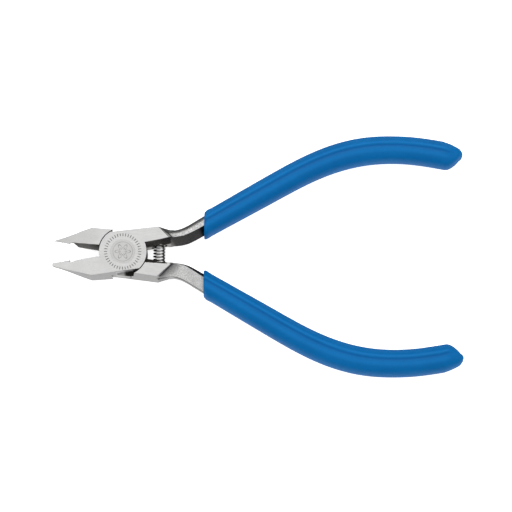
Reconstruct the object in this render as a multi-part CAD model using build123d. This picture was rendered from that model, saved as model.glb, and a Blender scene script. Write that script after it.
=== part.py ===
from build123d import *
import math
import os

# Miniature diagonal cutting pliers, in millimetres.
# Origin: where the pivot axis meets the joint's flat back face.
# +X runs from the jaws to the handles, +Z comes out of the front face,
# and +Y is towards the handle that belongs to the front half.
# Everything is drawn about the middle of the joint's thickness and lifted by half of it at the end.
# The two forged halves differ only in details of jaw, bore and ticks: both are drawn in the
# front half's place, and the back half is then turned half a turn about X.
# They are drawn as they rest, held open by the spring.
# "Inner" is the side nearer the XZ plane, "outer" the side away from it.

# ---------------------------------------------------------------- joint
HALF_T = 3.75            # half of the joint's thickness
LAP_GAP = 0.02           # each lap face stands this far from the middle plane
OPEN_HALF = 8.9          # each half is turned this far open at rest, degrees
DISC_R = 6.35            # lap disc
RIM_Z = 1.9              # height at which the disc's drafted rim begins
RECESS_R = 6.58          # recess that clears the other half's disc
RIM_GAP = 0.05           # between the rim's foot and the recess
CLOSE_GAP = 0.03         # working faces stand this far from the closing plane

# ---------------------------------------------------------------- jaws
JAW_END_X = -1.5         # end of the jaw block inside the disc
JAW_END_Y_FRONT, JAW_END_Y_BACK = -5.41, -5.90   # outer wall there, at the two faces
JAW_CORNER = (-8.3, -6.47)
TIP_OUTER_Y = -3.22
TIP_BEVEL = (0.35, 0.28) # small bevel at the tip's outer corner, along X and Y
PAD_STOCK = 0.9          # material left above the pads until they are cut
PAD_LEAN = 0.25          # both pads lean by this much per unit of depth, so they meet flush
NOTCH_X0, NOTCH_X1 = -14.2, -12.05   # relief between gripping tip and blade

# x, half thickness: hollow sweep of both broad faces towards the tip
JAW_TAPER = [
    (-19.5, 0.60), (-18.6, 0.64), (-16.9, 0.76), (-15.6, 0.98), (-14.3, 1.38),
    (-12.9, 2.02), (-11.6, 2.66), (-9.9, 3.36), (-8.5, 3.68), (-7.2, HALF_T),
]
# x, set-back of the bevelled side at the full thickness
BLADE = [(-13.9, 1.40), (-11.6, 0.78), (-8.9, 0.58), (-5.4, 0.88)]

TEETH = 6
TEETH_PITCH = 0.66
TEETH_DEPTH = 0.10       # above and below the pad's face
TOOTH_HALF_W = 0.26
FIRST_TOOTH = 0.45       # distance from the notch

# What differs between the halves.
# pad: the gripping pad's height over the closing plane at mid depth
# flank: set-back of the blade's plain side at the full thickness
# notch: floor depth, tilt per unit of depth, x where the floor ends,
#        height of the notch's top and its run beyond NOTCH_X1
FRONT = dict(tip_x=-18.90, pad=0.42, bore_gap=0.01, flank=0.30,
             notch=(0.30, 0.0, -13.3, 0.6, 0.4))    # holds the rivet fast
BACK = dict(tip_x=-18.65, pad=-0.48, bore_gap=0.04, flank=0.60,
            notch=(0.775, 0.21, -13.1, 1.4, 1.2))   # turns on the rivet

# ---------------------------------------------------------------- roots
WALL_Z = 1.7             # the roots' inner walls are upright this far each side of the middle plane
ROOT_START_X, ROOT_END_X = 1.0, 12.8
ROOT_START_Y_BACK = 5.50
ROOT_CORNER_FRONT = (9.4, 6.95)     # outer corner at the front face
ROOT_CORNER_BACK = (9.15, 6.62)     # outer corner at the back face
ROOT_INNER_X = (ROOT_END_X, 9.9, 6.2, 2.0)
# z, then the inner wall's y at each of ROOT_INNER_X
ROOT_LEVELS = [
    (-HALF_T, 3.30, 3.12, 2.90, 2.2),
    (-WALL_Z, 2.70, 2.06, 1.50, 1.5),
    (WALL_Z, 2.70, 2.06, 1.50, 1.5),
    (HALF_T, 4.19, 3.47, 2.72, 2.2),
]
# distance from the blend's edge, height over the middle plane
DIP_FRONT = [(0, HALF_T), (0.22, 3.12), (0.75, 2.62), (1.5, 2.05), (2.4, 1.10), (3.3, -0.40)]
DIP_BACK = [(0, HALF_T), (0.30, 3.12), (0.80, 2.68), (1.50, 2.38), (2.30, 2.20), (3.2, 2.08)]
BLEND_INSET = 0.03       # blends stay this far inside the neck's edges
BLEND_OVERRUN = 1.2      # blends are drawn this much too long at each end, then trimmed
BLEND_OVERLAP = 0.6      # and reach this far back into the root

# ---------------------------------------------------------------- handles
# x, inner y, outer y, ridge y, back z, ridge z, inner chamfer
NECK = [
    (8.9, 3.10, 6.52, 3.95, -2.95, 3.45, 0.10),
    (10.6, 2.88, 6.47, 3.98, -2.60, 3.30, 0.10),
    (12.4, 2.70, 6.32, 4.12, -2.30, 3.10, 0.10),
    (14.0, 2.72, 6.48, 4.26, -2.20, 2.95, 0.12),
    (15.2, 2.84, 6.80, 4.46, -2.20, 2.90, 0.15),
    (16.6, 3.07, 7.42, 4.86, -2.20, 2.88, 0.38),
    (17.9, 3.46, 8.16, 5.40, -2.20, 2.88, 0.70),
    (19.3, 4.16, 9.04, 6.14, -2.20, 2.88, 0.92),
    (20.6, 4.88, 9.84, 6.88, -2.20, 2.88, 1.02),
    (21.6, 5.46, 10.46, 7.48, -2.20, 2.88, 1.05),
    (24.0, 6.86, 11.78, 8.88, -2.20, 2.85, 0.95),
]
# x, centre y, width along y
TANG = [
    (27.0, 10.98, 4.60), (31.3, 13.48, 4.80), (39.34, 18.14, 4.95), (47.38, 22.62, 4.90),
    (55.42, 26.24, 4.75), (63.46, 28.44, 4.62), (71.50, 29.14, 4.50), (79.54, 28.68, 4.35),
    (85.6, 27.72, 3.90),
]
TANG_BACK_Z = -2.20
TANG_RIDGE_Z = 2.85      # where the tang leaves the neck
TANG_RIDGE_DROP = 0.55   # the ridge sinks by this much over the first stations
TANG_DROP_STATIONS = 3
TANG_CHAMFER = 0.8
TANG_RIDGE_SHIFT = 0.05  # ridge towards the inner side, as a part of the width

# ---------------------------------------------------------------- rivet, spring and pegs
RIVET_R = 2.2            # shank
RIVET_HEAD_R = 3.3       # flush countersunk heads
RIVET_HEAD_T = 1.1

SPRING_X = 9.65          # coil axis
SPRING_OD = 3.3
SPRING_WIRE = 0.5
SPRING_COILS = 7.6
SPRING_SLACK = 0.06      # between coil and seats, both ends together
SEAT_Y = 3.42            # floors of the pockets that take the coil's ends
SEAT_R = 2.15
SEAT_CUT = 3.0           # length of the seat's cutter
PIN_R = 0.7
PIN_OUT = 1.15           # peg length standing inside the coil
PIN_IN = 1.3             # peg length pressed in the handle
PIN_CHAMFER = 0.2
PIN_HOLE_GAP_R = 0.005
PIN_HOLE_GAP_END = 0.05
PIN_HOLE_EXTRA = 1.0     # cutter length beyond the pressed-in length

# ---------------------------------------------------------------- grips
GRIP_MOUTH_X = 21.6      # open end
GRIP_TIP_X = 91.0        # closed end
GRIP_T = 8.4             # thickness
SLEEVE_GAP = 0.03        # between tang and sleeve
GRIP_POINTS = 24         # points round a section
GRIP_POWER = 2.5         # superellipse power; 2 would be an ellipse
# x, centre y, width along y
GRIP = [
    (18.0, 5.80, 6.9), (21.6, 7.87, 7.15), (23.26, 8.83, 7.35), (31.30, 13.48, 7.65),
    (39.34, 18.14, 7.9), (47.38, 22.66, 7.9), (55.42, 26.28, 7.72), (63.46, 28.47, 7.45),
    (71.50, 29.16, 7.2), (79.54, 28.68, 7.2), (85.97, 27.65, 7.3), (93.5, 26.30, 7.3),
]
# plan outline that trims the grip at its mouth and tapers its closed end
GRIP_PLAN = [
    (GRIP_MOUTH_X, 0), (87.3, 0), (87.3, 24.0), (GRIP_TIP_X, 27.3), (GRIP_TIP_X, 28.6),
    (87.8, 31.0), (87.8, 40), (GRIP_MOUTH_X, 40),
]

# ---------------------------------------------------------------- index ticks on the front face
RING_R0, RING_R1 = 4.15, 4.95
RING_TICKS = 40
RING_DEPTH = 0.08
TICK_W = 0.16

FROM_BASE = (Align.CENTER, Align.CENTER, Align.MIN)
FROM_TOP = (Align.CENTER, Align.CENTER, Align.MAX)
SLOPE = math.tan(math.radians(OPEN_HALF))   # slope of the closing plane


# ---------------------------------------------------------------- helpers
def closing_y(x):
    """The closing plane of the front half, below the X axis at the jaws."""
    return SLOPE * x - CLOSE_GAP


def plan_face(points, z):
    return Plane.XY.offset(z) * make_face(Polyline(*points, close=True))


def prism(points, z0, z1):
    """A straight prism on a plan polygon."""
    return extrude(plan_face(points, z0), amount=z1 - z0)


def ruled(points_low, z_low, points_high, z_high):
    """A block with one plan polygon at its lower face and another at its upper face."""
    return loft([plan_face(points_low, z_low), plan_face(points_high, z_high)], ruled=True)


def ruled_x(points_a, xa, points_b, xb):
    """A block between two (y, z) polygons that lie across X."""
    faces = [make_face(Polyline(*[(x, y, z) for y, z in points], close=True))
             for points, x in ((points_a, xa), (points_b, xb))]
    return loft(faces, ruled=True)


def leaning(points, z, lean):
    """A block on a plan polygon, from -z to z, shifted by -lean along Y per unit of height."""
    low = [(x, y + z * lean) for x, y in points]
    high = [(x, y - z * lean) for x, y in points]
    return ruled(low, -z, high, z)


def turned(shape):
    """Half a turn about X, from one half's place to the other's."""
    return Rot(X=180) * shape


def spring_rod(y, radius, length):
    """A cylinder on the spring's axis, from y towards -Y."""
    return Pos(SPRING_X, y, 0) * Rot(X=90) * Cylinder(radius, length, align=FROM_BASE)


def rivet_head(gap=0.0):
    """The front head's cone, grown by a gap for the countersink."""
    cone = Cone(RIVET_R + gap, RIVET_HEAD_R + gap, RIVET_HEAD_T)
    return Pos(0, 0, HALF_T - RIVET_HEAD_T / 2) * cone


def lap_space():
    """The space behind the lap that belongs to the other half's disc."""
    return Pos(0, 0, LAP_GAP) * Cylinder(RECESS_R, 8, align=FROM_TOP)


# ---------------------------------------------------------------- jaw
def taper_cutter(side):
    """What stands beyond the hollow sweep of the face on one side (1 front, -1 back)."""
    top = 6
    (x_tip, z_tip), (x_end, z_end) = JAW_TAPER[0], JAW_TAPER[-1]
    curve = Spline(*[(x, 0, side * z) for x, z in JAW_TAPER],
                   tangents=[(1, 0, 0.0), (1, 0, 0.0)])
    lid = Polyline((x_end, 0, side * z_end), (x_end, 0, side * top),
                   (x_tip, 0, side * top), (x_tip, 0, side * z_tip))
    face = make_face(Wire([curve] + list(lid.edges())))
    return extrude(face, amount=12, dir=(0, 1, 0), both=True)


def blade_section(x, set_back, side):
    """Cut across X that leaves the cutting edge on the middle plane."""
    y = closing_y(x)
    z = 5.0
    return [(y + 1.5, 0.0), (y, 0.0), (y - set_back * z / HALF_T, side * z), (y + 1.5, side * z)]


def pad_section(y):
    """Cut across X above the leaning pad, whose face is at y at mid depth."""
    z = 4.0
    return [(y + 3, -z), (y + z * PAD_LEAN, -z), (y - z * PAD_LEAN, z), (y + 3, z)]


def make_jaw(tip_x, pad, flank, notch):
    # full-thickness block, its outer wall leaning in slightly towards the front
    def plan(end_y):
        return [
            (tip_x, SLOPE * tip_x + pad + PAD_STOCK),
            (NOTCH_X0, SLOPE * NOTCH_X0 + pad + PAD_STOCK),
            (NOTCH_X0, closing_y(NOTCH_X0)), (JAW_END_X, closing_y(JAW_END_X)),
            (JAW_END_X, end_y), JAW_CORNER,
            (tip_x + TIP_BEVEL[0], TIP_OUTER_Y - TIP_BEVEL[1]), (tip_x, TIP_OUTER_Y),
        ]
    jaw = ruled(plan(JAW_END_Y_BACK), -HALF_T, plan(JAW_END_Y_FRONT), HALF_T)
    for side in (1, -1):
        jaw -= taper_cutter(side)

    # blade: steep bevel towards the back, plain side towards the front
    for (xa, set_a), (xb, set_b) in zip(BLADE, BLADE[1:]):
        jaw -= ruled_x(blade_section(xa, set_a, -1), xa, blade_section(xb, set_b, -1), xb)
    xa, xb = BLADE[0][0], BLADE[-1][0]
    jaw -= ruled_x(blade_section(xa, flank, 1), xa, blade_section(xb, flank, 1), xb)

    # gripping tip: a leaning pad with cross serrations
    x_clear = JAW_TAPER[0][0]
    jaw -= ruled_x(pad_section(SLOPE * x_clear + pad), x_clear,
                   pad_section(SLOPE * NOTCH_X0 + pad), NOTCH_X0)
    for i in range(TEETH):
        x = NOTCH_X0 - FIRST_TOOTH - i * TEETH_PITCH
        face_y = SLOPE * x + pad
        y = face_y + TEETH_DEPTH
        groove = [(x - TOOTH_HALF_W, y), (x + TOOTH_HALF_W, y + 2 * TOOTH_HALF_W * SLOPE),
                  (x, face_y - TEETH_DEPTH)]
        jaw -= leaning(groove, 4.0, PAD_LEAN)

    # notch between the pad and the blade
    depth, tilt, floor_end, top, run = notch
    outline = [(NOTCH_X0, top), (NOTCH_X0, -depth), (floor_end, -depth),
               (NOTCH_X1, 0.0), (NOTCH_X1 + run, top)]
    jaw -= leaning([(x, closing_y(x) + y) for x, y in outline], 3.5, tilt)
    return jaw


# ---------------------------------------------------------------- disc and root
def disc_low(x):
    """Straight cut along the disc's -Y side."""
    return -5.20 + 0.139 * (x + 0.35)


def disc_high(x):
    """Straight cut along the disc's +Y side, in line with the root."""
    return 5.78 + 0.124 * x


def make_disc():
    disc = Pos(0, 0, LAP_GAP) * Cylinder(DISC_R, HALF_T - LAP_GAP, align=FROM_BASE)
    # between the roots the rim is drafted outwards towards the lap
    foot_r = RECESS_R - RIM_GAP
    rim = Pos(0, 0, LAP_GAP) * Cylinder(foot_r, RIM_Z - LAP_GAP, align=FROM_BASE)
    rim += Pos(0, 0, RIM_Z) * Cone(foot_r, DISC_R, HALF_T - RIM_Z, align=FROM_BASE)
    disc += rim & Pos(7.0, 0, 1.8) * Box(4.0, 6.4, 4.2)
    for edge, far_y in ((disc_low, -9), (disc_high, 12)):
        disc -= prism([(-9, edge(-9)), (9, edge(9)), (9, far_y), (-9, far_y)], -1, 5)
    return disc


def root_plan(z, *inner_y):
    """Outer corners run evenly from the back face to the front; the inner wall is given."""
    k = (z + HALF_T) / (2 * HALF_T)

    def between(back, front):
        return tuple(b + (f - b) * k for b, f in zip(back, front))
    start = between((ROOT_START_X, ROOT_START_Y_BACK), (ROOT_START_X, disc_high(ROOT_START_X)))
    corner = between(ROOT_CORNER_BACK, ROOT_CORNER_FRONT)
    return [start, corner] + list(zip(ROOT_INNER_X, inner_y))


def make_root():
    """Joins the disc to the handle; its inner wall is drafted towards both faces."""
    slabs = [ruled(root_plan(*low), low[0], root_plan(*high), high[0])
             for low, high in zip(ROOT_LEVELS, ROOT_LEVELS[1:])]
    return slabs[0] + slabs[1] + slabs[2]


# ---------------------------------------------------------------- handle
def station(x, y_in, y_out, y_ridge, z_back, z_ridge, bevel, grow):
    """One cross-section: flat back, rounded outer side, ridge, slanted inner side."""
    width, height = y_out - y_in, z_ridge - z_back
    points = [
        (y_in + bevel, z_back), (y_out, z_back), (y_out, z_back + 0.58 * height),
        (y_out - 0.07 * width, z_back + 0.78 * height),
        (y_out - 0.24 * width, z_back + 0.92 * height), (y_ridge, z_ridge), (y_in, z_back + bevel),
    ]
    y_mid, z_mid = (y_in + y_out) / 2, (z_back + z_ridge) / 2
    y_scale, z_scale = (width + 2 * grow) / width, (height + 2 * grow) / height
    p = [(x, y_mid + (y - y_mid) * y_scale, z_mid + (z - z_mid) * z_scale) for y, z in points]
    ridge_tangent = (0, p[5][1] - p[4][1], (p[5][2] - p[4][2]) * 0.8)
    edges = [
        Line(p[0], p[1]), Line(p[1], p[2]),
        Spline(p[2], p[3], p[4], p[5], tangents=[(0, 0, 1), ridge_tangent]),
        Line(p[5], p[6]), Line(p[6], p[0]),
    ]
    return make_face(Wire(edges))


def make_handle(grow=0.0):
    """Neck and tang; grown on all sides it is the grip's cavity."""
    sections = [station(*row, grow) for row in NECK]
    for i, (x, y_mid, width) in enumerate(TANG):
        z_ridge = TANG_RIDGE_Z - TANG_RIDGE_DROP * min(1.0, (i + 1) / TANG_DROP_STATIONS)
        sections.append(station(x, y_mid - width / 2, y_mid + width / 2,
                                y_mid - TANG_RIDGE_SHIFT * width,
                                TANG_BACK_Z, z_ridge, TANG_CHAMFER, grow))
    return loft(sections, ruled=False)


# ---------------------------------------------------------------- root-to-neck blends
def blend_block(start, end, side, dip):
    """A block under a hollow curve, run along the plan line from start to end."""
    dx, dy = end[0] - start[0], end[1] - start[1]
    length = math.hypot(dx, dy)
    along = Vector(dx / length, dy / length, 0)
    across = Vector(-dy / length, dx / length, 0)
    origin = Vector(start[0], start[1], 0) - along * BLEND_OVERRUN

    def at(distance, z):
        return origin + across * distance + Vector(0, 0, z)
    curve = [at(distance, side * z) for distance, z in dip]
    reach, floor = dip[-1]
    low = side * (floor - 0.5)
    top = at(-BLEND_OVERLAP, side * HALF_T)
    under = at(-BLEND_OVERLAP, low)
    far_low = at(reach, low)
    edges = [Spline(*curve), Line(curve[-1], far_low), Line(far_low, under),
             Line(under, top), Line(top, curve[0])]
    return extrude(make_face(Wire(edges)), amount=length + 2 * BLEND_OVERRUN, dir=along)


def make_blends():
    """Hollow blends where the root's front and back faces step down to the neck."""
    rows = NECK[1:7]
    outer = [(row[0], row[2] - BLEND_INSET) for row in rows[1:]]
    ridge = [(row[0], row[3] + BLEND_INSET) for row in rows[::-1]]
    inner = [(row[0], row[1] + row[6] + BLEND_INSET) for row in rows[::-1]]
    front_plan = [(9.0, 6.85), ROOT_CORNER_FRONT] + outer + ridge + [(9.6, 3.6)]
    back_plan = [(8.8, 6.5), ROOT_CORNER_BACK] + outer + inner + [(9.6, 3.1)]
    front_end = (ROOT_END_X, ROOT_LEVELS[-1][1])
    front = (blend_block(ROOT_CORNER_FRONT, front_end, 1, DIP_FRONT)
             & prism(front_plan, -0.45, HALF_T))
    back = (blend_block(ROOT_CORNER_BACK, (ROOT_END_X, 2.92), -1, DIP_BACK)
            & prism(back_plan, -HALF_T, -1.95))
    return front, back


# ---------------------------------------------------------------- one forged half
def make_half(tip_x, pad, bore_gap, flank, notch):
    blend_front, blend_back = make_blends()
    far = make_jaw(tip_x, pad, flank, notch) + make_root()
    far -= lap_space()
    half = far + make_disc() + make_handle() + blend_front + blend_back
    # handle and blends must clear the other half's disc too
    half -= lap_space()

    # rivet bore and its countersink in the outer face
    half -= Cylinder(RIVET_R + bore_gap, 20)
    half -= rivet_head(bore_gap)

    # flat seat for the coil, and the hole its locating peg is pressed in
    half -= spring_rod(SEAT_Y, SEAT_R, SEAT_CUT)
    half -= spring_rod(SEAT_Y + PIN_IN + PIN_HOLE_GAP_END, PIN_R + PIN_HOLE_GAP_R,
                       PIN_IN + PIN_HOLE_EXTRA)
    return half


def make_front_half():
    """The front half carries a ring of plain ticks on its outer face."""
    half = make_half(**FRONT)
    for i in range(RING_TICKS):
        tick = Box(RING_R1 - RING_R0, TICK_W, 2 * RING_DEPTH)
        half -= Rot(Z=360.0 * i / RING_TICKS) * Pos((RING_R0 + RING_R1) / 2, 0, HALF_T) * tick
    return half


# ---------------------------------------------------------------- rivet, spring, peg
def make_rivet():
    head = rivet_head()
    return Cylinder(RIVET_R, 2 * HALF_T) + head + turned(head)


def make_spring():
    length = 2 * SEAT_Y - SPRING_WIRE - SPRING_SLACK
    helix = Helix(pitch=length / SPRING_COILS, height=length,
                  radius=(SPRING_OD - SPRING_WIRE) / 2)
    profile = Plane(origin=helix @ 0, z_dir=helix % 0) * Circle(SPRING_WIRE / 2)
    coil = sweep(profile, path=helix, is_frenet=True)
    return Pos(SPRING_X, length / 2, 0) * Rot(X=90) * coil


def make_pin():
    body = spring_rod(SEAT_Y + PIN_IN, PIN_R, PIN_IN + PIN_OUT)
    return chamfer(body.faces().sort_by(Axis.Y)[0].edges(), PIN_CHAMFER)


# ---------------------------------------------------------------- grip
def grip_section(x, y_mid, width):
    """A full, rounded sleeve section, slightly flattened on its four sides."""
    def bulge(value):
        return math.copysign(abs(value) ** (2 / GRIP_POWER), value)
    points = []
    for i in range(GRIP_POINTS):
        angle = 2 * math.pi * i / GRIP_POINTS
        points.append((x, y_mid + width / 2 * bulge(math.cos(angle)),
                       GRIP_T / 2 * bulge(math.sin(angle))))
    return make_face(Wire([Spline(*points, periodic=True)]))


def make_grip():
    body = loft([grip_section(*row) for row in GRIP], ruled=False)
    body = body & prism(GRIP_PLAN, -6, 6)
    return body - make_handle(grow=SLEEVE_GAP)


# ---------------------------------------------------------------- output
PARTS = {
    "front_half": make_front_half(),
    "back_half": turned(make_half(**BACK)),
    "pivot_rivet": make_rivet(),
    "return_spring": make_spring(),
    "upper_spring_pin": make_pin(),
    "lower_spring_pin": turned(make_pin()),
    "upper_grip": make_grip(),
    "lower_grip": turned(make_grip()),
}

os.makedirs("parts", exist_ok=True)
for name, shape in PARTS.items():
    # the piece's largest solid, lifted so that the joint's back face lies in the XY plane
    solid = max(shape.solids(), key=lambda s: s.volume)
    export_step(Pos(0, 0, HALF_T) * solid, f"parts/{name}.step")
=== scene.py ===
"""Hand cutters: two steel halves on a rivet, blue dipped grips and a coil return spring.

The pivot axis is Z through the origin. The jaws point to -X and the handles to +X, with the
upper handle at +Y and the lower at -Y. The front half carries the upper handle.
Lengths are in millimetres and become metres through MM, unless a name or comment says metres.
"""
import math
from functools import cached_property

import bmesh
import bpy
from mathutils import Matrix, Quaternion, Vector


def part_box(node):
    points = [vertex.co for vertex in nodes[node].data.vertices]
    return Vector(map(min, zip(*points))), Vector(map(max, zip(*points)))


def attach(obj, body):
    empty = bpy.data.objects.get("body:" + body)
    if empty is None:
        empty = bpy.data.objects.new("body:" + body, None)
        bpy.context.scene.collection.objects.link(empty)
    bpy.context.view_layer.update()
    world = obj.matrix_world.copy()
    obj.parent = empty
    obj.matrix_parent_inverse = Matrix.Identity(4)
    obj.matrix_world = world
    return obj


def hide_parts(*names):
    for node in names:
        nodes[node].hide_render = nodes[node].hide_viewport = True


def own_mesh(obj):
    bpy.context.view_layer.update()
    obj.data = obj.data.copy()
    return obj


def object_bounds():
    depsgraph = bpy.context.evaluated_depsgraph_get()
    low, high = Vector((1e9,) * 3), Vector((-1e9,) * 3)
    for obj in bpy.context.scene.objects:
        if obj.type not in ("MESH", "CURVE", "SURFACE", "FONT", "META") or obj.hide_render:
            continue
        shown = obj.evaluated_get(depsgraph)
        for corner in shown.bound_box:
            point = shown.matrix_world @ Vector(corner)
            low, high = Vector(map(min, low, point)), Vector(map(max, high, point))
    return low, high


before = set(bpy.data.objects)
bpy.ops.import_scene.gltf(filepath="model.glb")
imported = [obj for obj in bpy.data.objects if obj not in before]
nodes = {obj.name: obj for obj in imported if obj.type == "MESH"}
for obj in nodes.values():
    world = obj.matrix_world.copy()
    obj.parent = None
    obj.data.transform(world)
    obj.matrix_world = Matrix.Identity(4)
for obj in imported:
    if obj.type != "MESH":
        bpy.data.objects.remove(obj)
CAD_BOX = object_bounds()

MM = 0.001
MID_Z = (CAD_BOX[0][2] + CAD_BOX[1][2]) / 2      # middle plane of the tool, metres
TOP_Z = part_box("front_half")[1].z / MM

SPRING_LOW, SPRING_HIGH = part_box("return_spring")
SPRING_X = (SPRING_LOW.x + SPRING_HIGH.x) / 2 / MM
SPRING_R = (SPRING_HIGH.x - SPRING_LOW.x) / 2 / MM
SPRING_HALF_LENGTH = (SPRING_HIGH.y - SPRING_LOW.y) / 2 / MM

GRIP_LOW, GRIP_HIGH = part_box("upper_grip")
MOUTH_X = GRIP_LOW.x / MM
GRIP_HALF_T = (GRIP_HIGH.z - GRIP_LOW.z) / 2 / MM


# ------------------------------------------------------------------ small helpers
def lerp(a, b, t):
    return a + (b - a) * t


def smooth(start, end, x):
    t = min(1.0, max(0.0, (x - start) / (end - start)))
    return t * t * (3 - 2 * t)


def soft_min(a, b, blend):
    """The smaller of two values, rounded where they cross."""
    h = max(blend - abs(a - b), 0.0) / blend
    return min(a, b) - h * h * blend * 0.25


class NaturalCubic:
    """A natural cubic through (x, y) points."""

    def __init__(self, points):
        self.x, self.y = zip(*points)
        x, y, count = self.x, self.y, len(points)
        step = [x[i + 1] - x[i] for i in range(count - 1)]
        rise = [(y[i + 1] - y[i]) / step[i] for i in range(count - 1)]
        ratio, rest = [0.0] * count, [0.0] * count
        for i in range(1, count - 1):
            bend = 3 * (rise[i] - rise[i - 1])
            pivot = 2 * (x[i + 1] - x[i - 1]) - step[i - 1] * ratio[i - 1]
            ratio[i] = step[i] / pivot
            rest[i] = (bend - step[i - 1] * rest[i - 1]) / pivot
        # coefficients of t, t^2 and t^3 on each piece
        self.first, self.second, self.third = [0.0] * count, [0.0] * count, [0.0] * count
        for i in range(count - 2, -1, -1):
            after = self.second[i + 1]
            self.second[i] = rest[i] - ratio[i] * after
            self.first[i] = rise[i] - step[i] * (after + 2 * self.second[i]) / 3
            self.third[i] = (after - self.second[i]) / (3 * step[i])

    def piece(self, x):
        """The piece that holds x, and how far x lies into it."""
        i = 0
        while i < len(self.x) - 2 and x > self.x[i + 1]:
            i += 1
        return i, x - self.x[i]

    def __call__(self, x):
        i, t = self.piece(x)
        return self.y[i] + self.first[i] * t + self.second[i] * t * t + self.third[i] * t ** 3

    def slope(self, x):
        i, t = self.piece(x)
        return self.first[i] + 2 * self.second[i] * t + 3 * self.third[i] * t * t


def new_object(name, bm, material):
    bmesh.ops.recalc_face_normals(bm, faces=bm.faces[:])
    mesh = bpy.data.meshes.new(name)
    bm.to_mesh(mesh)
    bm.free()
    for face in mesh.polygons:
        face.use_smooth = True
    obj = bpy.data.objects.new(name, mesh)
    bpy.context.scene.collection.objects.link(obj)
    mesh.materials.append(material)
    return obj


def bridge(bm, rings):
    """Faces between each ring of vertices and the next."""
    for a, b in zip(rings, rings[1:]):
        for i in range(len(a)):
            j = (i + 1) % len(a)
            bm.faces.new((a[i], a[j], b[j], b[i]))


# ------------------------------------------------------------------ shader node kit
def shade(colour, factor):
    return tuple(min(1.0, c * factor) for c in colour)


class NodeKit:
    """Short calls that add nodes to a tree and return their output socket."""

    def __init__(self, tree):
        self.tree = tree
        tree.nodes.clear()

    def node(self, kind, **props):
        node = self.tree.nodes.new(kind)
        for key, value in props.items():
            setattr(node, key, value)
        return node

    def put(self, socket, value):
        """Link a socket, or set a plain value."""
        if hasattr(value, "links"):
            self.tree.links.new(value, socket)
        else:
            socket.default_value = value

    def math(self, operation, a, b=0.0, c=0.0, clamp=False):
        node = self.node("ShaderNodeMath", operation=operation, use_clamp=clamp)
        for socket, value in zip(node.inputs, (a, b, c)):
            self.put(socket, value)
        return node.outputs[0]

    def mul(self, first, *others):
        for other in others:
            first = self.math("MULTIPLY", first, other)
        return first

    def apart(self, a, b):
        return self.math("ABSOLUTE", self.math("SUBTRACT", a, b))

    def ramp(self, x, at, to=(0.0, 1.0), kind="SMOOTHSTEP"):
        """Map the input range `at` to the output range `to`."""
        node = self.node("ShaderNodeMapRange", interpolation_type=kind)
        self.put(node.inputs["Value"], x)
        for name, value in zip(("From Min", "From Max", "To Min", "To Max"), (*at, *to)):
            node.inputs[name].default_value = value
        return node.outputs[0]

    def window(self, x, edges):
        """1 between two soft edges, each an input range of a ramp."""
        return self.mul(*[self.ramp(x, at=edge) for edge in edges])

    def mix(self, factor, a, b):
        """Blend two colours, each an output socket or an (r, g, b) tuple."""
        node = self.node("ShaderNodeMix", data_type="RGBA")
        self.put(node.inputs[0], factor)
        for index, colour in ((6, a), (7, b)):     # the colour sockets A and B
            self.put(node.inputs[index], (*colour, 1.0) if isinstance(colour, tuple) else colour)
        return node.outputs[2]

    def noise(self, vector, scale, detail, rough, distortion=0.0):
        node = self.node("ShaderNodeTexNoise")
        self.put(node.inputs["Scale"], scale)
        self.put(node.inputs["Detail"], detail)
        self.put(node.inputs["Roughness"], rough)
        self.put(node.inputs["Distortion"], distortion)
        self.put(node.inputs["Vector"], vector)
        return node.outputs[0]

    def coords(self, stretch=(1, 1, 1)):
        """Object coordinates in millimetres, times stretch."""
        place = self.node("ShaderNodeTexCoord")
        mapping = self.node("ShaderNodeMapping")
        mapping.inputs["Scale"].default_value = [s / MM for s in stretch]
        self.put(mapping.inputs["Vector"], place.outputs["Object"])
        return mapping.outputs[0]

    def separate(self, vector):
        node = self.node("ShaderNodeSeparateXYZ")
        self.put(node.inputs[0], vector)
        return node.outputs[:]

    def radius(self, x, y):
        return self.math("SQRT", self.math("ADD", self.mul(x, x), self.mul(y, y)))

    def vector_math(self, operation, *vectors):
        node = self.node("ShaderNodeVectorMath", operation=operation)
        for socket, vector in zip(node.inputs, vectors):
            self.put(socket, vector)
        return node

    def bump(self, height, distance, strength, normal=None):
        """Distance is in metres."""
        node = self.node("ShaderNodeBump")
        self.put(node.inputs["Strength"], strength)
        self.put(node.inputs["Distance"], distance)
        self.put(node.inputs["Height"], height)
        if normal is not None:
            self.put(node.inputs["Normal"], normal)
        return node.outputs[0]


class Material(NodeKit):
    """A new material with a Principled surface."""

    def __init__(self, name):
        self.material = bpy.data.materials.new(name)
        self.material.use_nodes = True
        super().__init__(self.material.node_tree)
        output = self.node("ShaderNodeOutputMaterial")
        self.bsdf = self.node("ShaderNodeBsdfPrincipled")
        self.put(output.inputs[0], self.bsdf.outputs[0])

    def surface(self, name, value):
        self.put(self.bsdf.inputs[name], value)


# ------------------------------------------------------------------ steel
FACE = (0.625, 0.622, 0.617)
SIDE = (0.39, 0.387, 0.385)
EDGE_WEAR_SHINE = (0.88, 0.875, 0.865)
NOTCH_SHINE = (0.50, 0.497, 0.493)
ROSETTE_GREY = (0.13, 0.128, 0.125)
RING_RESIDUE = (0.05, 0.048, 0.046)
PAINTED_SHADE_DARK = (0.03, 0.029, 0.028)
GAP_SHADE_BLACK = (0.012, 0.011, 0.010)
LAP_SHADOW_BLACK = (0.006, 0.006, 0.005)
# dark and light of each mottled skin of painted shade
SHADE_MOTTLE = ((0.018, 0.017, 0.016), (0.062, 0.058, 0.056))
ROOT_WALL_SHADE = ((0.105, 0.099, 0.095), (0.30, 0.285, 0.275))
NECK_WALL_SHADE = ((0.012, 0.011, 0.010), (0.046, 0.043, 0.041))

STEP_FOOT = 16.36       # foot of the step at a handle's root, measured as `along`
DISC_R = 6.46           # rim of the lap disc


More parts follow.
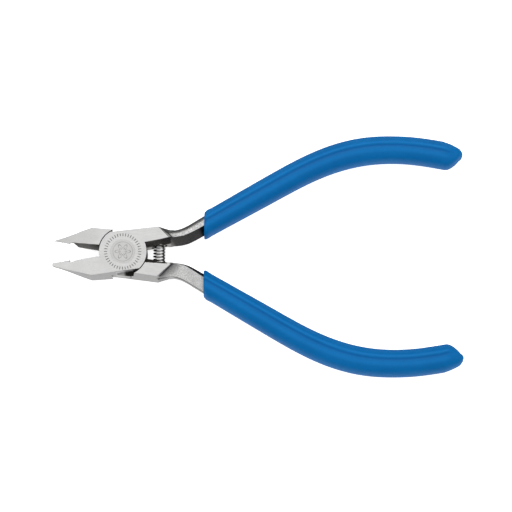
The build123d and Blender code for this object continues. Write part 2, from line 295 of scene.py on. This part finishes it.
class Steel(Material):
    """The inputs that the steel looks share.

    handle is 1 or -1 for the half whose handle lies at +Y or -Y, and 0 for other pieces.
    """

    def __init__(self, name, grain, edge, handle):
        super().__init__(name)
        self.handle = float(handle)
        self.normal = self.node("ShaderNodeNewGeometry").outputs["Normal"]
        own_normal = self.node("ShaderNodeTexCoord").outputs["Normal"]
        self.nx, self.ny, self.nz = self.separate(own_normal)
        self.level = self.math("ABSOLUTE", self.nz)
        self.is_face = self.ramp(self.level, at=(0.55, 0.9))
        self.fine = self.noise(self.coords(grain), scale=5.0, detail=6.0, rough=0.65)
        self.blotch = self.noise(self.coords(), scale=0.35, detail=3.0, rough=0.5)
        self.grit = self.noise(self.coords(), scale=14.0, detail=3.0, rough=0.6)
        self.cross = self.noise(self.coords((4.0, 4.0, 0.25)), scale=3.0, detail=5.0, rough=0.6)
        bevel = self.node("ShaderNodeBevel", samples=6)
        bevel.inputs["Radius"].default_value = edge
        self.rounded = bevel.outputs[0]

    @cached_property
    def place(self):
        return self.separate(self.coords())

    @cached_property
    def peen(self):
        return self.noise(self.coords(), scale=4.2, detail=4.0, rough=0.62)

    @cached_property
    def along(self):
        """Distance out along x plus the handle's side, which crosses the step squarely."""
        x, y, _ = self.place
        return self.math("MULTIPLY_ADD", y, self.handle, x)

    @cached_property
    def forged(self):
        return self.ramp(self.along, at=(16.25, 16.55))

    @cached_property
    def off_mid(self):
        return self.apart(self.place[2], MID_Z / MM)

    def mottled(self, skin):
        return self.mix(self.ramp(self.peen, at=(0.3, 0.7)), *skin)


def ground_colour(s, face, side):
    """Fine drawn grain on the broad faces, coarser cross grind on the sides."""
    top = s.mix(s.ramp(s.fine, at=(0.25, 0.75)), shade(face, 0.84), shade(face, 1.10))
    top = s.mix(s.ramp(s.blotch, at=(0.3, 0.75), to=(0.0, 0.30)), top, shade(face, 0.82))
    top = s.mix(s.ramp(s.grit, at=(0.58, 0.78), to=(0.0, 0.40)), top, shade(face, 0.62))
    wall = s.mix(s.ramp(s.cross, at=(0.25, 0.75)), shade(side, 0.78), shade(side, 1.15))
    if s.handle < 0:
        # painted shade: this half's jaw darkens towards its tip, where its face tapers
        x = s.place[0]
        dark = s.math("ADD", s.ramp(x, at=(-5.0, -8.5), to=(0.0, 0.09)),
                      s.ramp(x, at=(-11.0, -17.0), to=(0.0, 0.09)))
        top = s.mix(dark, top, (0.0, 0.0, 0.0))
    return s.mix(s.is_face, wall, top)


def forging_skin(s, colour, face):
    """Blasted skin beyond the step at the root, with painted shade along the step's foot."""
    # the lower handle's skin is painted lighter than the upper's, as it is lit
    dark, light = (0.42, 0.92) if s.handle > 0 else (0.50, 1.15)
    skin = s.mix(s.ramp(s.peen, at=(0.34, 0.66)), shade(face, dark), shade(face, light))
    skin = s.mix(s.ramp(s.blotch, at=(0.35, 0.7), to=(0.0, 0.35)), skin, shade(face, 0.45))
    # painted shade: darker at the foot of the step, lighter further out
    skin = s.mix(s.ramp(s.along, at=(16.4, 20.5), to=(0.55, 0.0)), skin, shade(face, 0.22))
    colour = s.mix(s.forged, colour, skin)
    # painted shade: a dark line along the step's foot
    foot = s.mul(s.ramp(s.apart(s.along, STEP_FOOT), at=(0.20, 0.08)),
                 s.ramp(s.nz, at=(0.2, 0.5)))
    return s.mix(s.mul(foot, 0.75), colour, PAINTED_SHADE_DARK)


def painted_shade_areas(s, colour):
    """Painted shade and shadow on lap faces, disc rim, cutting bevels and the inner walls of a
    half, and a dark line along the neck's edge.
    """
    x, y, z = s.place
    # painted shade on the walls towards the other handle
    wall = s.mul(s.ramp(s.mul(s.ny, -s.handle), at=(0.40, 0.60)), s.ramp(x, at=(4.6, 5.4)),
                 s.ramp(s.mul(y, s.handle), at=(0.9, 1.4)))
    # painted shade on the ground bevels of the cutting edges; the jaw lies on the other side of
    # the axis
    bevel = s.mul(s.ramp(s.mul(s.ny, s.handle), at=(0.40, 0.62)),
                  s.window(x, edges=((-13.6, -13.3), (-2.6, -3.0))),
                  s.ramp(s.level, at=(0.93, 0.85)))
    # painted shadow: the deck beyond the disc is left clean on the jaw side and painted black in
    # the corner by the root
    radius = s.radius(x, y)
    deck = s.math("MAXIMUM", s.ramp(radius, at=(6.3, 5.9)), s.ramp(x, at=(0.1, 1.0)))
    lap = s.mul(s.ramp(s.off_mid, at=(0.12, 0.06)), s.is_face, deck)
    # painted shade on the disc's rim and the recess wall: upright, and square to the radius
    radial = s.math("ADD", s.mul(s.nx, x), s.mul(s.ny, y))
    radial = s.math("ABSOLUTE", s.math("DIVIDE", radial, s.math("ADD", radius, 0.001)))
    rim = s.mul(s.ramp(s.apart(radius, DISC_R), at=(0.26, 0.20)),
                s.ramp(radial, at=(0.90, 0.96)),
                s.ramp(s.mul(y, s.handle), at=(-2.5, 0.5), to=(0.15, 1.0)))
    # a dark line painted along the outer wall's far edge on the neck
    own_z = s.mul(s.math("SUBTRACT", z, MID_Z / MM), -s.handle)
    edge_line = s.mul(s.ramp(own_z, at=(0.65, 0.95)),
                 s.ramp(s.mul(s.ny, s.handle), at=(0.5, 0.8)), s.ramp(x, at=(12.5, 14.5)))
    dark = s.math("MAXIMUM", s.math("MAXIMUM", lap, bevel), s.math("MAXIMUM", rim, edge_line))
    # painted shade in mottled dark over these marks, and painted shadow in black on the lap
    colour = s.mix(s.mul(dark, 0.95), colour, s.mottled(SHADE_MOTTLE))
    colour = s.mix(s.mul(lap, 0.75), colour, LAP_SHADOW_BLACK)
    # painted shade on the inner walls: lighter by the root, darker out on the neck
    scale = s.mix(s.ramp(s.along, at=(15.6, 17.2)), s.mottled(ROOT_WALL_SHADE), s.mottled(NECK_WALL_SHADE))
    return s.mix(s.mul(wall, 0.96), colour, scale)


def worn_and_lit_edges(s, colour):
    """Painted highlight and wear: edges where the rounded normal leaves the true one are painted
    lighter, as worn and catching the light.
    """
    agree = s.vector_math("DOT_PRODUCT", s.rounded, s.normal).outputs["Value"]
    worn = s.mul(s.ramp(agree, at=(0.985, 0.90)),
                 s.ramp(s.blotch, at=(0.30, 0.55), to=(0.35, 1.0)), 0.30)
    return s.mix(worn, colour, EDGE_WEAR_SHINE)


def ring_residue(s, colour):
    """Dark residue in the recessed ring marks on the top face."""
    x, y, z = s.place
    ring = s.window(s.radius(x, y), edges=((3.35, 3.40), (5.15, 5.10)))
    low = s.window(z, edges=((TOP_Z - 0.015, TOP_Z - 0.03), (TOP_Z - 0.3, TOP_Z - 0.2)))
    return s.mix(s.mul(ring, low, 0.85), colour, RING_RESIDUE)


def rosette(s, colour):
    """A six-petal turning mark etched on the rivet's head, and a fine ring round it."""
    x, y, _ = s.place
    radius = s.radius(x, y)
    angle = s.math("ARCTAN2", y, x)
    # petal outline: radius 1.45 that swings by 0.62
    wave = s.math("MULTIPLY_ADD", s.math("COSINE", s.mul(angle, 6.0)), 0.62, 1.45)
    petal = s.ramp(s.apart(radius, wave), at=(0.16, 0.05))
    spoke = s.math("ABSOLUTE", s.math("SINE", s.mul(angle, 3.0)))
    spoke = s.mul(s.ramp(spoke, at=(0.30, 0.12)),
                  s.window(radius, edges=((0.45, 0.55), (1.25, 1.10))))
    ring = s.ramp(s.apart(radius, 2.62), at=(0.09, 0.03))
    mark = s.math("MAXIMUM", s.math("MAXIMUM", petal, spoke), s.mul(ring, 0.7))
    mark = s.mul(mark, s.ramp(s.nz, at=(0.9, 0.98)),
                 s.ramp(s.blotch, at=(0.2, 0.5), to=(0.45, 0.8)))
    return s.mix(mark, colour, ROSETTE_GREY)


def coil_shade(s, colour):
    """Painted shade between the turns and on the inside of the coil."""
    x, _, z = s.place
    outward = s.math("ADD", s.mul(s.nx, s.math("SUBTRACT", x, SPRING_X)),
                     s.mul(s.nz, s.math("SUBTRACT", z, MID_Z / MM)))
    between = s.ramp(s.math("ABSOLUTE", s.ny), at=(0.40, 0.80))
    inside = s.ramp(outward, at=(0.35, -0.35))
    return s.mix(s.mul(s.math("MAXIMUM", between, inside), 0.93), colour, PAINTED_SHADE_DARK)


def cavity(s, distance):
    """How much painted shade a point takes: 0 in open air, 1 deep in a gap or corner."""
    occlusion = s.node("ShaderNodeAmbientOcclusion", samples=8)
    occlusion.inputs["Distance"].default_value = distance
    return s.ramp(occlusion.outputs["AO"], at=(0.62, 0.12))


def steel_roughness(s, face_rough, side_rough):
    streaks = s.noise(s.coords((0.03, 1.2, 1.2)), scale=3.0, detail=4.0, rough=0.6)
    rough = s.math("ADD",
                   s.ramp(s.is_face, at=(0.0, 1.0), to=(side_rough, face_rough), kind="LINEAR"),
                   s.ramp(s.fine, at=(0.2, 0.8), to=(-0.05, 0.06), kind="LINEAR"))
    rough = s.math("ADD", rough, s.ramp(streaks, at=(0.3, 0.7), to=(-0.03, 0.03), kind="LINEAR"),
                   clamp=True)
    if s.handle:
        rough = s.math("MULTIPLY_ADD", s.forged, 0.06, rough)
    return rough


def steel_normal(s):
    """Grain in relief, on broad faces so nearly flat that they reflect as one plane."""
    height = s.math("ADD", s.mul(s.fine, s.is_face),
                    s.mul(s.cross, s.math("SUBTRACT", 1.0, s.is_face)))
    height = s.math("ADD", height, s.mul(s.grit, 0.6))
    flat = s.ramp(s.level, at=(0.935, 0.965))
    if s.handle:
        height = s.math("MULTIPLY_ADD", s.mul(s.forged, s.peen), 4.0, height)
        jaw = s.ramp(s.place[0], at=(-6.0, -7.0))
        flat = s.math("MAXIMUM", flat, s.mul(jaw, s.ramp(s.level, at=(0.80, 0.88))))
        flat = s.mul(flat, s.math("SUBTRACT", 1.0, s.forged))
    up = s.node("ShaderNodeCombineXYZ")
    s.put(up.inputs[2], s.math("SIGN", s.separate(s.normal)[2]))
    to_flat = s.vector_math("SUBTRACT", up.outputs[0], s.normal).outputs[0]
    pull = s.vector_math("SCALE", to_flat)
    s.put(pull.inputs["Scale"], s.mul(flat, 0.92))
    bent = s.vector_math("ADD", s.rounded, pull.outputs[0]).outputs[0]
    unit = s.vector_math("NORMALIZE", bent).outputs[0]
    return s.bump(height, distance=0.000012, strength=0.55, normal=unit)


def steel(name, face=FACE, side=SIDE, grain=(0.12, 3.0, 3.0), face_rough=0.42, side_rough=0.38,
          edge=0.00010, gap=0.0011, handle=0, mark=None):
    """Ground steel. edge is the radius of the rounded, worn and lit edges and gap the reach of the
    painted cavity shade, in metres.

    mark is a function that draws one more feature over the worn steel.
    """
    s = Steel(name, grain, edge, handle)
    colour = ground_colour(s, face, side)
    if handle:
        colour = forging_skin(s, colour, face)
        colour = painted_shade_areas(s, colour)
    colour = worn_and_lit_edges(s, colour)
    if mark:
        colour = mark(s, colour)
    # painted shade: ambient occlusion darkens the colour in gaps and corners
    dark = s.mul(cavity(s, gap), 0.93)
    if handle:
        # the painted shade is lifted at the end of the notch by the jaw, which is painted plain
        # steel grey: its wall and the strip of deck beside it
        x, y, _ = s.place
        clean = s.mul(s.ramp(s.math("ABSOLUTE", y), at=(4.7, 4.9)),
                      s.window(x, edges=((1.0, 0.0), (-1.9, -1.6))),
                      s.ramp(s.off_mid, at=(3.2, 2.6)))
        colour = s.mix(clean, colour, NOTCH_SHINE)
        dark = s.mul(dark, s.math("MULTIPLY_ADD", clean, -0.75, 1.0))
    s.surface("Base Color", s.mix(dark, colour, GAP_SHADE_BLACK))
    s.surface("Metallic", 1.0)
    s.surface("Roughness", steel_roughness(s, face_rough, side_rough))
    s.surface("Normal", steel_normal(s))
    return s.material


# ------------------------------------------------------------------ vinyl
BLUE = (0.0003, 0.117, 0.345)
BLUE_HIGH = (0.0007, 0.131, 0.378)


def vinyl(name, base, high):
    """Dipped vinyl: satin, faintly uneven in colour, with fine skin and a few soft scuffs."""
    m = Material(name)
    place = m.coords()
    skin = m.noise(place, scale=7.0, detail=5.0, rough=0.6)
    soft = m.noise(place, scale=0.10, detail=3.0, rough=0.5)
    mottle = m.noise(place, scale=0.9, detail=4.0, rough=0.6)
    scuff = m.noise(m.coords((0.25, 2.2, 2.2)), scale=1.1, detail=5.0, rough=0.7, distortion=0.4)
    pore = m.node("ShaderNodeTexVoronoi", feature="F1")
    m.put(pore.inputs["Scale"], 3.2)
    m.put(pore.inputs["Vector"], place)

    colour = m.mix(m.ramp(soft, at=(0.30, 0.70)), base, high)
    colour = m.mix(m.ramp(mottle, at=(0.35, 0.75), to=(0.0, 0.25)), colour, shade(base, 0.82))
    colour = m.mix(m.ramp(scuff, at=(0.66, 0.82), to=(0.0, 0.30)), colour,
                   (base[0] + 0.06, base[1] + 0.08, base[2] + 0.09))
    # painted highlight over the ridges and painted shade in the channel
    ridge = m.node("ShaderNodeAttribute", attribute_name="ridge").outputs["Fac"]
    colour = m.mix(m.ramp(ridge, at=(0.10, 1.0), to=(0.0, 0.70)), colour,
                   (0.006, high[1] * 1.22, high[2] * 1.18))
    colour = m.mix(m.ramp(ridge, at=(-0.05, -0.8), to=(0.0, 0.60)), colour,
                   (0.0, base[1] * 0.70, base[2] * 0.82))
    m.surface("Base Color", colour)

    rough = m.math("ADD", m.ramp(soft, at=(0.3, 0.7), to=(0.36, 0.44), kind="LINEAR"),
                   m.ramp(scuff, at=(0.60, 0.80), to=(0.0, 0.16)))
    rough = m.math("ADD", rough, m.ramp(skin, at=(0.3, 0.7), to=(-0.03, 0.03), kind="LINEAR"))
    m.surface("Roughness", rough)
    m.surface("IOR", 1.48)
    facing = m.node("ShaderNodeLayerWeight").outputs["Facing"]
    m.surface("Specular IOR Level",
              m.ramp(facing, at=(0.45, 0.95), to=(0.09, 0.01), kind="LINEAR"))
    height = m.math("ADD", m.mul(skin, 0.6),
                    m.mul(m.ramp(pore.outputs["Distance"], at=(0.0, 0.25)), 0.25))
    m.surface("Normal", m.bump(height, distance=0.000025, strength=0.35))
    return m.material


# ------------------------------------------------------------------ materials of the pieces
EVEN_GRAIN = (1.5, 1.5, 1.5)
WIRE_STEEL = (0.56, 0.555, 0.55)

grip_mat = vinyl("blue_vinyl", BLUE, BLUE_HIGH)
front_mat = steel("ground_steel_front", handle=1, mark=ring_residue)
back_mat = steel("ground_steel_back", handle=-1)
rivet_mat = steel("rivet_steel", face=(0.56, 0.556, 0.552), side=(0.45, 0.445, 0.44),
                  grain=EVEN_GRAIN, edge=0.00005, mark=rosette)
spring_mat = steel("spring_wire", face=WIRE_STEEL, side=WIRE_STEEL, face_rough=0.22,
                   side_rough=0.22, edge=0.00002, gap=0.0005, mark=coil_shade)
pin_mat = steel("pin_steel", face=(0.50, 0.496, 0.492), side=(0.42, 0.416, 0.412),
                grain=EVEN_GRAIN, edge=0.00005)

for piece, material in (("front_half", front_mat), ("back_half", back_mat),
                        ("pivot_rivet", rivet_mat), ("upper_spring_pin", pin_mat),
                        ("lower_spring_pin", pin_mat)):
    slots = nodes[piece].data.materials
    slots.clear()
    slots.append(material)

# ------------------------------------------------------------------ grips
# (x, y) of the upper grip's centre line
CENTRE = NaturalCubic([
    (14.0, 3.60), (21.6, 7.87), (23.26, 8.83), (31.30, 13.48), (39.34, 18.14), (47.38, 22.66),
    (55.42, 26.28), (63.46, 28.47), (71.50, 29.16), (79.54, 28.68), (85.97, 27.65), (92.0, 26.55)])
# (x, width) of the grip
WIDTH = NaturalCubic([
    (18.0, 6.20), (21.6, 6.30), (31.3, 6.62), (39.34, 6.85), (47.38, 7.02), (55.42, 7.22),
    (63.46, 7.30), (71.5, 7.18), (79.54, 7.18), (86.0, 7.20), (92.0, 7.2)])
# (x, width) of the tang inside it
TANG = NaturalCubic([
    (20.0, 5.05), (21.6, 5.05), (24.0, 4.96), (27.0, 4.66), (31.3, 4.80), (39.34, 4.95),
    (47.38, 4.90), (55.42, 4.75), (63.46, 4.62), (71.5, 4.50), (79.54, 4.35), (85.6, 3.9),
    (88.0, 3.6)])
RING_POINTS = 96
BODY_STEPS, BORE_STEPS, TIP_STEPS = 130, 24, 40
BODY_START, BODY_END = MOUTH_X + 0.55, 85.2
BORE_START, BORE_END = MOUTH_X + 0.45, 86.0
BODY_HALF_T = GRIP_HALF_T - 0.16
WIDTH_EXTRA = 0.05      # added to each half width

TIP_X = 85.97           # where the pointed end's own axis starts
TIP_LENGTH = 4.76
TIP_OFFSET = 0.75       # of the point, to the outer side
TIP_R = 1.5             # plan radius of the blunt point
FLANK_START = 0.62      # distance back from the point where the flanks set in
OUTER_FLANK, INNER_FLANK = 0.46, 1.30      # widening per length


def superellipse(i, power):
    angle = 2 * math.pi * i / RING_POINTS
    return [math.copysign(abs(p) ** (2 / power), p) for p in (math.cos(angle), math.sin(angle))]


def grip_ring(cx, cy, ex, ey, half_w, half_t, lines):
    """One ring, and how far each point stands on a ridge (1) or in the channel (-1), which sets
    its painted highlight and shade.

    (ex, ey) is the section's width axis; lines is the strength of the ridges.
    """
    points, tones = [], []
    for i in range(RING_POINTS):
        u, v = superellipse(i, power=2.45)
        across = u * half_w
        z = v * half_t
        tone = 0.0
        # two low ridges with a shallow channel between, where the tang's edges show through
        strength = smooth(0.55, 0.9, abs(v)) * lines
        if strength > 0:
            side = 1 if v > 0 else -1
            d = across * side       # the back carries the same ridges, turned over
            sharp_ridge = math.exp(-((d - 1.35) / 0.45) ** 2)
            channel = math.exp(-((d - 0.58) / 0.32) ** 2)
            broad_ridge = math.exp(-((d + 0.80) / 0.85) ** 2)
            flat = -0.10 * smooth(1.9, 2.9, d)
            z += side * strength * (0.17 * sharp_ridge - 0.14 * channel + 0.12 * broad_ridge
                                    + flat)
            # the tone paints highlight on the ridges and shade in the channel
            tone = strength * max(-1.0, min(1.0, sharp_ridge + 0.75 * broad_ridge
                                            - 1.15 * channel))
        points.append(Vector((cx + ex * across, cy + ey * across, z)) * MM)
        tones.append(tone)
    return points, tones


def body_ring(x, grow, lines=1.0):
    """A section that is cut along Y at the mouth and turns square to the centre line."""
    angle = math.atan(CENTRE.slope(x))
    nx, ny = -math.sin(angle), math.cos(angle)
    turned = smooth(MOUTH_X, MOUTH_X + 14, x)
    ex, ey = nx * turned, lerp(1.0, ny, turned)
    length = math.hypot(ex, ey)
    ex, ey = ex / length, ey / length
    half_w = (WIDTH(x) / 2 + WIDTH_EXTRA + grow) * (1.0 / (ex * nx + ey * ny))
    return grip_ring(x, CENTRE(x), ex, ey, half_w, BODY_HALF_T + grow, lines)


def bore_ring(x, grow):
    """Follows the tang with a small gap."""
    inward = smooth(MOUTH_X, 40, x)
    half_w = TANG(x) / 2 + 0.07 + grow
    above = lerp(2.98, 2.45, inward) + grow
    below = lerp(2.30, 2.32, inward) + grow
    cy = CENTRE(x) + lerp(0.09, 0.0, smooth(MOUTH_X, MOUTH_X + 5, x))
    points = []
    for i in range(RING_POINTS):
        u, v = superellipse(i, power=4.0)
        points.append(Vector((x, cy + u * half_w, v * (above if v > 0 else below))) * MM)
    return points, [0.0] * RING_POINTS


def tip_rings():
    """The sides are cut to a blunt arrow and the faces roll down."""
    angle = math.atan(CENTRE.slope(TIP_X))
    tx, ty = math.cos(angle), math.sin(angle)
    nx, ny = -ty, tx
    half_w = WIDTH(TIP_X) / 2 + WIDTH_EXTRA
    start = (BODY_END - TIP_X) / tx
    rings = []
    for i in range(1, TIP_STEPS + 1):
        u = lerp(start, TIP_LENGTH, math.sin(i / TIP_STEPS * math.pi / 2))
        d = TIP_LENGTH - u
        # a round nose that runs out into the two straight flanks
        nose = math.sqrt(max(0.0, 2 * TIP_R * d - d * d)) if d < TIP_R else TIP_R
        flank = max(0.0, d - FLANK_START)
        outer = soft_min(half_w, TIP_OFFSET + (nose + OUTER_FLANK * flank), blend=1.5)
        inner = soft_min(half_w, -TIP_OFFSET + (nose + INNER_FLANK * flank), blend=1.7)
        half_t = BODY_HALF_T * (1 - 0.26 * smooth(-1.0, TIP_LENGTH, u) ** 1.3)
        half_t *= lerp(0.50, 1.0, min(1.0, nose / TIP_R))
        mid = (outer - inner) / 2
        rings.append(grip_ring(TIP_X + tx * u + nx * mid, CENTRE(TIP_X) + ty * u + ny * mid,
                               nx, ny, max(0.03, (outer + inner) / 2), half_t,
                               1.0 - smooth(-0.5, 3.0, u)))
    return rings


def grip_rings():
    """From the bore's blind end out to the mouth, round the lip and along to the tip."""
    rings = [bore_ring(lerp(BORE_START, BORE_END, (i / BORE_STEPS) ** 1.3), 0.0)
             for i in range(BORE_STEPS, -1, -1)]
    for degrees in (30, 60, 90):
        a = math.radians(degrees)
        rings.append(bore_ring(BORE_START - 0.40 * math.sin(a), 0.30 * (1 - math.cos(a))))
    for degrees in (90, 70, 50, 30, 12):
        a = math.radians(degrees)
        rings.append(body_ring(BODY_START - 0.55 * math.sin(a), -0.42 * (1 - math.cos(a)),
                               lines=0.2 + 0.8 * math.cos(a)))
    for i in range(BODY_STEPS + 1):
        x = lerp(BODY_START, BODY_END, i / BODY_STEPS)
        rings.append(body_ring(x, 0.10 * math.exp(-((x - MOUTH_X - 0.9) / 0.7) ** 2)))
    return rings + tip_rings()


def make_grip(name, turned_over):
    """turned_over gives the lower grip: the upper one after a half turn about X."""
    bm = bmesh.new()
    ridge = bm.verts.layers.float.new("ridge")
    rings = grip_rings()
    verts = [[bm.verts.new(point) for point in points] for points, _ in rings]
    for ring, (_, tones) in zip(verts, rings):
        for vert, tone in zip(ring, tones):
            vert[ridge] = tone
    bridge(bm, verts)
    for ring in (verts[0], verts[-1]):
        centre = sum((v.co for v in ring), Vector()) / RING_POINTS
        inner = [bm.verts.new(centre + (v.co - centre) * 0.5) for v in ring]
        bridge(bm, [ring, inner])
        hub = bm.verts.new(centre)
        for i in range(RING_POINTS):
            bm.faces.new((inner[i], inner[(i + 1) % RING_POINTS], hub))
    for v in bm.verts:
        if turned_over:
            v.co.y, v.co.z = -v.co.y, -v.co.z
        v.co.z += MID_Z
    return new_object(name, bm, grip_mat)


for level, half, turned_over in (("upper", "front", False), ("lower", "back", True)):
    grip = make_grip(f"{level}_grip_sleeve", turned_over)
    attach(grip, half)
    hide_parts(f"{level}_grip")

# ------------------------------------------------------------------ return spring
WIRE = 0.5
COIL_R = SPRING_R - WIRE / 2                    # to the wire's centre
COIL_LENGTH = 2 * SPRING_HALF_LENGTH - WIRE     # of the centre line
ACTIVE_TURNS, CLOSED_TURNS = 6.6, 0.8           # closed turns at each end
TURNS = ACTIVE_TURNS + 2 * CLOSED_TURNS
CLOSED_LENGTH = WIRE * 0.92 * CLOSED_TURNS
STEPS_PER_TURN = 40
WIRE_POINTS = 16
START_ANGLE = 0.6


def coil_point(t):
    """Centre line of the wire, t from 0 to 1 towards +Y, around z = 0."""
    turn = t * TURNS
    if turn < CLOSED_TURNS:
        y = CLOSED_LENGTH * turn / CLOSED_TURNS
    elif turn > TURNS - CLOSED_TURNS:
        y = COIL_LENGTH - CLOSED_LENGTH * (TURNS - turn) / CLOSED_TURNS
    else:
        y = lerp(CLOSED_LENGTH, COIL_LENGTH - CLOSED_LENGTH,
                 (turn - CLOSED_TURNS) / ACTIVE_TURNS)
    a = 2 * math.pi * turn + START_ANGLE
    return Vector((SPRING_X + COIL_R * math.cos(a), y - COIL_LENGTH / 2, COIL_R * math.sin(a)))


def make_spring():
    bm = bmesh.new()
    steps = int(TURNS * STEPS_PER_TURN)
    rings = []
    for i in range(steps + 1):
        t = i / steps
        centre = coil_point(t)
        tangent = coil_point(min(1.0, t + 1e-3)) - coil_point(max(0.0, t - 1e-3))
        tangent.normalize()
        radial = Vector((centre.x - SPRING_X, 0, centre.z)).normalized()
        up = radial.cross(tangent).normalized()
        side = tangent.cross(up).normalized()
        radius = WIRE / 2
        if i in (0, steps):
            radius *= 0.82
        ring = []
        for j in range(WIRE_POINTS):
            a = 2 * math.pi * j / WIRE_POINTS
            point = centre + side * (radius * math.cos(a)) + up * (radius * math.sin(a))
            # ground ends
            point.y = max(-SPRING_HALF_LENGTH, min(SPRING_HALF_LENGTH, point.y))
            ring.append(bm.verts.new(point * MM + Vector((0, 0, MID_Z))))
        rings.append(ring)
    bridge(bm, rings)
    bm.faces.new(rings[0])
    bm.faces.new(rings[-1])
    return new_object("return_spring_coil", bm, spring_mat)


coil = make_spring()
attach(coil, "spring")
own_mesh(coil)
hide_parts("return_spring")

# ------------------------------------------------------------------ floor, in metres from here on
FLOOR_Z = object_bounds()[0].z
FLOOR_SIZE = 3.0


def floor_material():
    m = Material("pale_floor")
    cloud = m.noise(m.coords((0.05, 0.05, 0.05)), scale=1.0, detail=2.0, rough=0.5)
    m.surface("Base Color", m.mix(cloud, (0.90, 0.90, 0.90), (0.92, 0.92, 0.92)))
    m.surface("Roughness", 0.9)
    m.surface("Specular IOR Level", 0.1)
    m.surface("Emission Color", (1.0, 1.0, 1.0, 1.0))
    m.surface("Emission Strength", 0.78)
    return m.material


bm = bmesh.new()
bmesh.ops.create_grid(bm, x_segments=8, y_segments=8, size=FLOOR_SIZE)
for v in bm.verts:
    v.co.z = FLOOR_Z
floor = new_object("studio_floor", bm, floor_material())
floor.visible_glossy = False

# ------------------------------------------------------------------ lights
MIDDLE_X = 0.0355
MIDDLE = Vector((MIDDLE_X, 0.0, MID_Z))
# name, place from the middle, (width, height), watts, seen in reflections
LIGHTS = (
    ("key_back", (-0.10, 0.56, 0.64), (0.90, 0.16), 2.2, True),
    ("fill_right", (0.66, -0.05, 0.42), (0.40, 0.50), 1.3, False),
    ("fill_left", (-0.66, 0.0, 0.42), (0.40, 0.50), 1.3, False),
)
for name, offset, size, power, glossy in LIGHTS:
    light = bpy.data.lights.new(name, "AREA")
    light.shape = "RECTANGLE"
    light.size, light.size_y = size
    light.energy = power
    lamp = bpy.data.objects.new(name, light)
    bpy.context.scene.collection.objects.link(lamp)
    lamp.location = MIDDLE + Vector(offset)
    aim = MIDDLE - (MIDDLE + Vector(offset))
    lamp.rotation_euler = aim.to_track_quat("-Z", "Y").to_euler()
    lamp.visible_glossy = glossy


# ------------------------------------------------------------------ world
def make_world():
    """An overhead tent, dark at the horizon; below it a pale sweep on the -Y side only."""
    world = bpy.data.worlds.new("studio")
    bpy.context.scene.world = world
    world.use_nodes = True
    w = NodeKit(world.node_tree)
    output = w.node("ShaderNodeOutputWorld")
    background = w.node("ShaderNodeBackground")
    w.put(output.inputs[0], background.outputs[0])
    _, y, z = w.separate(w.node("ShaderNodeTexCoord").outputs["Generated"])
    tent = w.ramp(z, at=(0.30, 0.72), to=(0.06, 1.0))
    sweep = w.mul(w.ramp(z, at=(-0.05, -0.35)), w.ramp(y, at=(0.12, -0.12), to=(0.10, 1.0)))
    w.put(background.inputs["Strength"], w.math("MAXIMUM", tent, sweep))
    w.put(background.inputs["Color"], (1.0, 1.0, 1.0, 1.0))


make_world()

# ------------------------------------------------------------------ camera
ELEVATION = math.radians(78.2)
ROLL = math.radians(0.4)
TARGET = Vector((MIDDLE_X, -0.0002, MID_Z))
DISTANCE = 0.90
VIEW_WIDTH = 0.1369     # width at the target that fills the frame
SENSOR = 36.0           # millimetres, as is the lens

camera_data = bpy.data.cameras.new("camera")
camera_data.sensor_width = SENSOR
camera_data.lens = SENSOR * DISTANCE / VIEW_WIDTH
camera_data.clip_start = 0.01
camera_data.clip_end = 20.0
camera = bpy.data.objects.new("camera", camera_data)
bpy.context.scene.collection.objects.link(camera)
back = Vector((0, -math.cos(ELEVATION), math.sin(ELEVATION)))
camera.location = TARGET + back * DISTANCE
camera.rotation_mode = "QUATERNION"
camera.rotation_quaternion = (-back).to_track_quat("-Z", "Y") @ Quaternion((0, 0, 1), ROLL)
bpy.context.scene.camera = camera

view = bpy.context.scene.view_settings
view.view_transform = "Standard"
view.look = "None"
view.exposure = 0.0
view.gamma = 1.0
